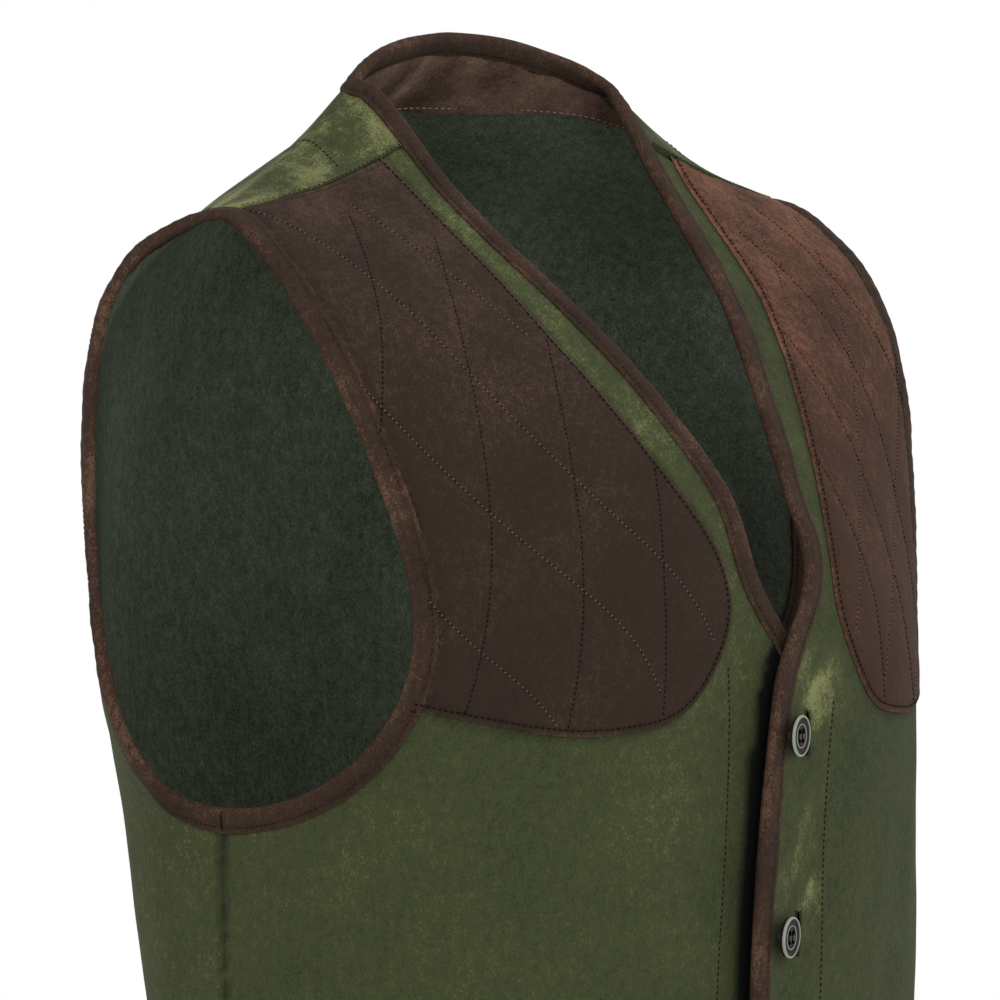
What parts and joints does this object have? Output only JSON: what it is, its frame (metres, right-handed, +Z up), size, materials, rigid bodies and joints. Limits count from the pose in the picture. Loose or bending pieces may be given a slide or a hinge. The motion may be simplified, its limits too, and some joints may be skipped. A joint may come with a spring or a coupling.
{
  "type": "shooting vest",
  "caption": "Hollow sleeveless shooting vest in soft nubuck with a V neck, bound edges, quilted recoil patches and a buttoned front.",
  "frame": {"origin": "on the centre line, at the height where the shoulders carry the vest, beside the neck", "axes": "+Z up, the front faces -Y, +X is the wearer's left"},
  "size_m": [0.4698, 0.3171, 0.7156],
  "materials": {
    "green_nubuck": "mottled nubuck nap outside, matt flesh side inside",
    "brown_nubuck": "quilted nubuck nap",
    "brown_suede": "matt suede",
    "brown_binding": "soft nap, folded and stitched",
    "button_resin": "satin horn look with a pale rim"
  },
  "bodies": {
    "root": {"back": "green_nubuck", "front_left": "green_nubuck", "front_right": "green_nubuck", "patch_left": "brown_nubuck", "patch_right": "brown_nubuck", "neck_facing": "brown_suede", "neck_binding": "brown_binding", "armhole_binding_left": "brown_binding", "armhole_binding_right": "brown_binding", "button_1": "button_resin", "button_2": "button_resin", "button_3": "button_resin", "button_4": "button_resin", "button_5": "button_resin"}
  },
  "joints": []
}
